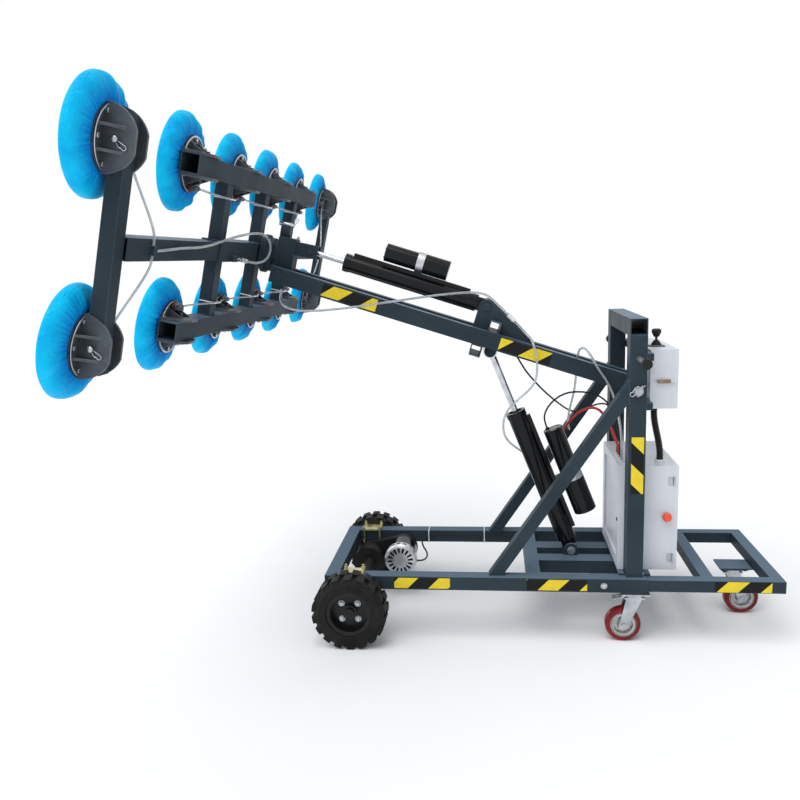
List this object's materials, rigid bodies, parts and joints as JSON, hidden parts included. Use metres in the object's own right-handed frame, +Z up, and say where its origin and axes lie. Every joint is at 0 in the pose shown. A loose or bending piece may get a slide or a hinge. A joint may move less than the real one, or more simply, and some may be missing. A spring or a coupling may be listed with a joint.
{
  "type": "glass panel lifter",
  "caption": "Wheeled lifter for glass panels: chassis with mast, actuated boom, tilting and turning frame of suction cups, drive axle, casters and control boxes.",
  "frame": {"origin": "on the ground, below the middle of the machine's box", "axes": "+X forwards from the mast to the cups, +Y to the left across the machine along the cup frame, +Z up"},
  "size_m": [2.466, 3.043, 2.1891],
  "materials": {
    "frame_paint": "semi-gloss slate blue-grey",
    "white_paint": "satin white powder coat",
    "stop_red": "glossy orange-red",
    "bright_steel": "bright zinc",
    "yellow_zinc": "yellow zinc",
    "black_plastic": "matt black",
    "black_casting": "black painted casting",
    "black_steel": "satin black",
    "rod_chrome": "polished",
    "grey_casting": "grey casting",
    "gearbox_iron": "dark grey casting",
    "cup_rubber": "matt black rubber",
    "cover_fabric": "bright cyan-blue coated fabric",
    "tyre_rubber": "matt tread",
    "red_tread": "red polyurethane",
    "hose_clear": "clear grey hose",
    "cable_black": "mixed cables and hose, mostly black",
    "pedal_red": "red"
  },
  "bodies": {
    "base": {"chassis_rails": "frame_paint", "chassis_members": "frame_paint", "mast_tubes": "frame_paint", "side_handles": "bright_steel", "mast_braces": "frame_paint", "base_pins": "bright_steel", "cabinet_body": "white_paint", "control_box": "white_paint", "box_hardware": "bright_steel", "conduit": "black_plastic", "transaxle": "gearbox_iron", "drive_motor": "black_casting", "axle_clamps": "yellow_zinc", "caster_plates": "bright_steel", "mast_cables": "cable_black"},
    "rear": {"rear_frame": "frame_paint"},
    "left fork": {"caster_fork_left": "bright_steel"},
    "left caster": {"caster_wheel_left": "red_tread"},
    "left pedal": {"brake_pedal_left": "pedal_red"},
    "right fork": {"caster_fork_right": "bright_steel"},
    "right caster": {"caster_wheel_right": "red_tread"},
    "right pedal": {"brake_pedal_right": "pedal_red"},
    "rear fork": {"caster_fork_rear": "bright_steel"},
    "rear caster": {"caster_wheel_rear": "red_tread"},
    "left drive wheel": {"drive_rim_left": "black_steel", "drive_tyre_left": "tyre_rubber"},
    "right drive wheel": {"drive_rim_right": "black_steel", "drive_tyre_right": "tyre_rubber"},
    "cabinet door": {"cabinet_door": "white_paint"},
    "control door": {"control_door": "white_paint"},
    "stop button": {"estop_button": "stop_red"},
    "stick": {"joystick": "black_plastic"},
    "boom": {"boom_rails": "frame_paint", "boom_brackets": "frame_paint", "boom_pins": "bright_steel", "boom_hose": "hose_clear"},
    "lift tube": {"lift_body": "black_casting", "lift_motor": "black_casting"},
    "lift ram": {"lift_rod": "rod_chrome"},
    "tilt tube": {"tilt_body": "black_casting", "tilt_motor": "black_casting"},
    "tilt ram": {"tilt_rod": "rod_chrome"},
    "head": {"tilt_head": "frame_paint"},
    "cup frame": {"frame_centre": "frame_paint", "frame_beams": "frame_paint", "frame_hoses": "hose_clear", "loop_hoses": "hose_clear", "cup_discs_frame": "grey_casting", "cup_rubbers_frame": "cup_rubber", "cup_covers_frame": "cover_fabric"},
    "left arm": {"arm_left": "frame_paint", "arm_hose_left": "hose_clear", "cup_discs_left": "grey_casting", "cup_rubbers_left": "cup_rubber", "cup_covers_left": "cover_fabric"},
    "right arm": {"arm_right": "frame_paint", "arm_hose_right": "hose_clear", "cup_discs_right": "grey_casting", "cup_rubbers_right": "cup_rubber", "cup_covers_right": "cover_fabric"}
  },
  "joints": [
    {"name": "boom_lift", "type": "hinge", "parent": "base", "child": "boom", "pos_m": [-0.62302, 0, 1.09], "axis": [0, -1, 0], "range_deg": [-20, 25], "deforming": ["boom_hose", "mast_cables"]},
    {"name": "lift_tube_swing", "type": "hinge", "parent": "base", "child": "lift tube", "pos_m": [-0.38402, 0, 0.309], "axis": [0, -1, 0], "range_deg": [-8.16, 9.95]},
    {"name": "lift_ram_swing", "type": "hinge", "parent": "boom", "child": "lift ram", "pos_m": [-0.02678, 0, 1.23677], "axis": [0, -1, 0], "range_deg": [-17.05, 13.84]},
    {"name": "head_tilt", "type": "hinge", "parent": "boom", "child": "head", "pos_m": [0.90378, 0, 1.60086], "axis": [0, 1, 0], "range_deg": [-25, 12], "deforming": ["boom_hose"]},
    {"name": "tilt_tube_swing", "type": "hinge", "parent": "boom", "child": "tilt tube", "pos_m": [-0.01436, 0, 1.43285], "axis": [0, 1, 0], "range_deg": [-2.19, 3.48]},
    {"name": "tilt_ram_swing", "type": "hinge", "parent": "head", "child": "tilt ram", "pos_m": [0.77003, 0, 1.70058], "axis": [0, 1, 0], "range_deg": [-14.19, 28.48]},
    {"name": "frame_turn", "type": "hinge", "parent": "head", "child": "cup frame", "pos_m": [1.12503, 0, 1.73581], "axis": [0.9728, 0, 0.2317], "continuous": true},
    {"name": "left_arm_slide", "type": "slide", "parent": "cup frame", "child": "left arm", "axis": [0, 1, 0], "range_m": [-0.18, 0.25], "deforming": ["loop_hoses"]},
    {"name": "right_arm_slide", "type": "slide", "parent": "cup frame", "child": "right arm", "axis": [0, -1, 0], "range_m": [-0.18, 0.25], "deforming": ["loop_hoses"]},
    {"name": "rear_slide", "type": "slide", "parent": "base", "child": "rear", "axis": [1, 0, 0], "range_m": [-0.09, 0.2]},
    {"name": "left_drive", "type": "hinge", "parent": "base", "child": "left drive wheel", "pos_m": [0.59198, 0.395, 0.162], "axis": [0, 1, 0], "continuous": true},
    {"name": "right_drive", "type": "hinge", "parent": "base", "child": "right drive wheel", "pos_m": [0.59198, -0.395, 0.162], "axis": [0, 1, 0], "continuous": true},
    {"name": "left_swivel", "type": "hinge", "parent": "base", "child": "left fork", "pos_m": [-0.62302, 0.29, 0.219], "axis": [0, 0, 1], "continuous": true},
    {"name": "left_roll", "type": "hinge", "parent": "left fork", "child": "left caster", "pos_m": [-0.57802, 0.29, 0.075], "axis": [0, 1, 0], "continuous": true},
    {"name": "left_brake", "type": "hinge", "parent": "left fork", "child": "left pedal", "pos_m": [-0.57572, 0.29, 0.1992], "axis": [0, 1, 0], "range_deg": [0, 20]},
    {"name": "right_swivel", "type": "hinge", "parent": "base", "child": "right fork", "pos_m": [-0.62302, -0.29, 0.219], "axis": [0, 0, 1], "continuous": true},
    {"name": "right_roll", "type": "hinge", "parent": "right fork", "child": "right caster", "pos_m": [-0.57802, -0.29, 0.075], "axis": [0, 1, 0], "continuous": true},
    {"name": "right_brake", "type": "hinge", "parent": "right fork", "child": "right pedal", "pos_m": [-0.57572, -0.29, 0.1992], "axis": [0, 1, 0], "range_deg": [0, 20]},
    {"name": "rear_swivel", "type": "hinge", "parent": "rear", "child": "rear fork", "pos_m": [-1.10802, 0, 0.217], "axis": [0, 0, 1], "continuous": true},
    {"name": "rear_roll", "type": "hinge", "parent": "rear fork", "child": "rear caster", "pos_m": [-1.15302, 0, 0.075], "axis": [0, 1, 0], "continuous": true},
    {"name": "cabinet_door_hinge", "type": "hinge", "parent": "base", "child": "cabinet door", "pos_m": [-0.79102, 0.2317, 0.524], "axis": [0, 0, -1], "range_deg": [0, 120]},
    {"name": "control_door_hinge", "type": "hinge", "parent": "base", "child": "control door", "pos_m": [-0.77302, -0.235, 1.1265], "axis": [0, 0, 1], "range_deg": [0, 110]},
    {"name": "stop_press", "type": "slide", "parent": "base", "child": "stop button", "axis": [0, -1, 0], "range_m": [0, 0.006], "stiffness_N_per_m": 500},
    {"name": "stick_tilt", "type": "hinge", "parent": "base", "child": "stick", "pos_m": [-0.73002, 0.1, 1.2643], "axis": [0, 1, 0], "range_deg": [-20, 20], "stiffness_Nm_per_rad": 0.6}
  ],
  "couplings": [
    {"joint": "lift_tube_swing", "follows": "boom_lift", "ratio": 0.358},
    {"joint": "lift_ram_swing", "follows": "boom_lift", "ratio": -0.642},
    {"joint": "tilt_tube_swing", "follows": "head_tilt", "ratio": -0.099},
    {"joint": "tilt_ram_swing", "follows": "head_tilt", "ratio": -1.099}
  ]
}
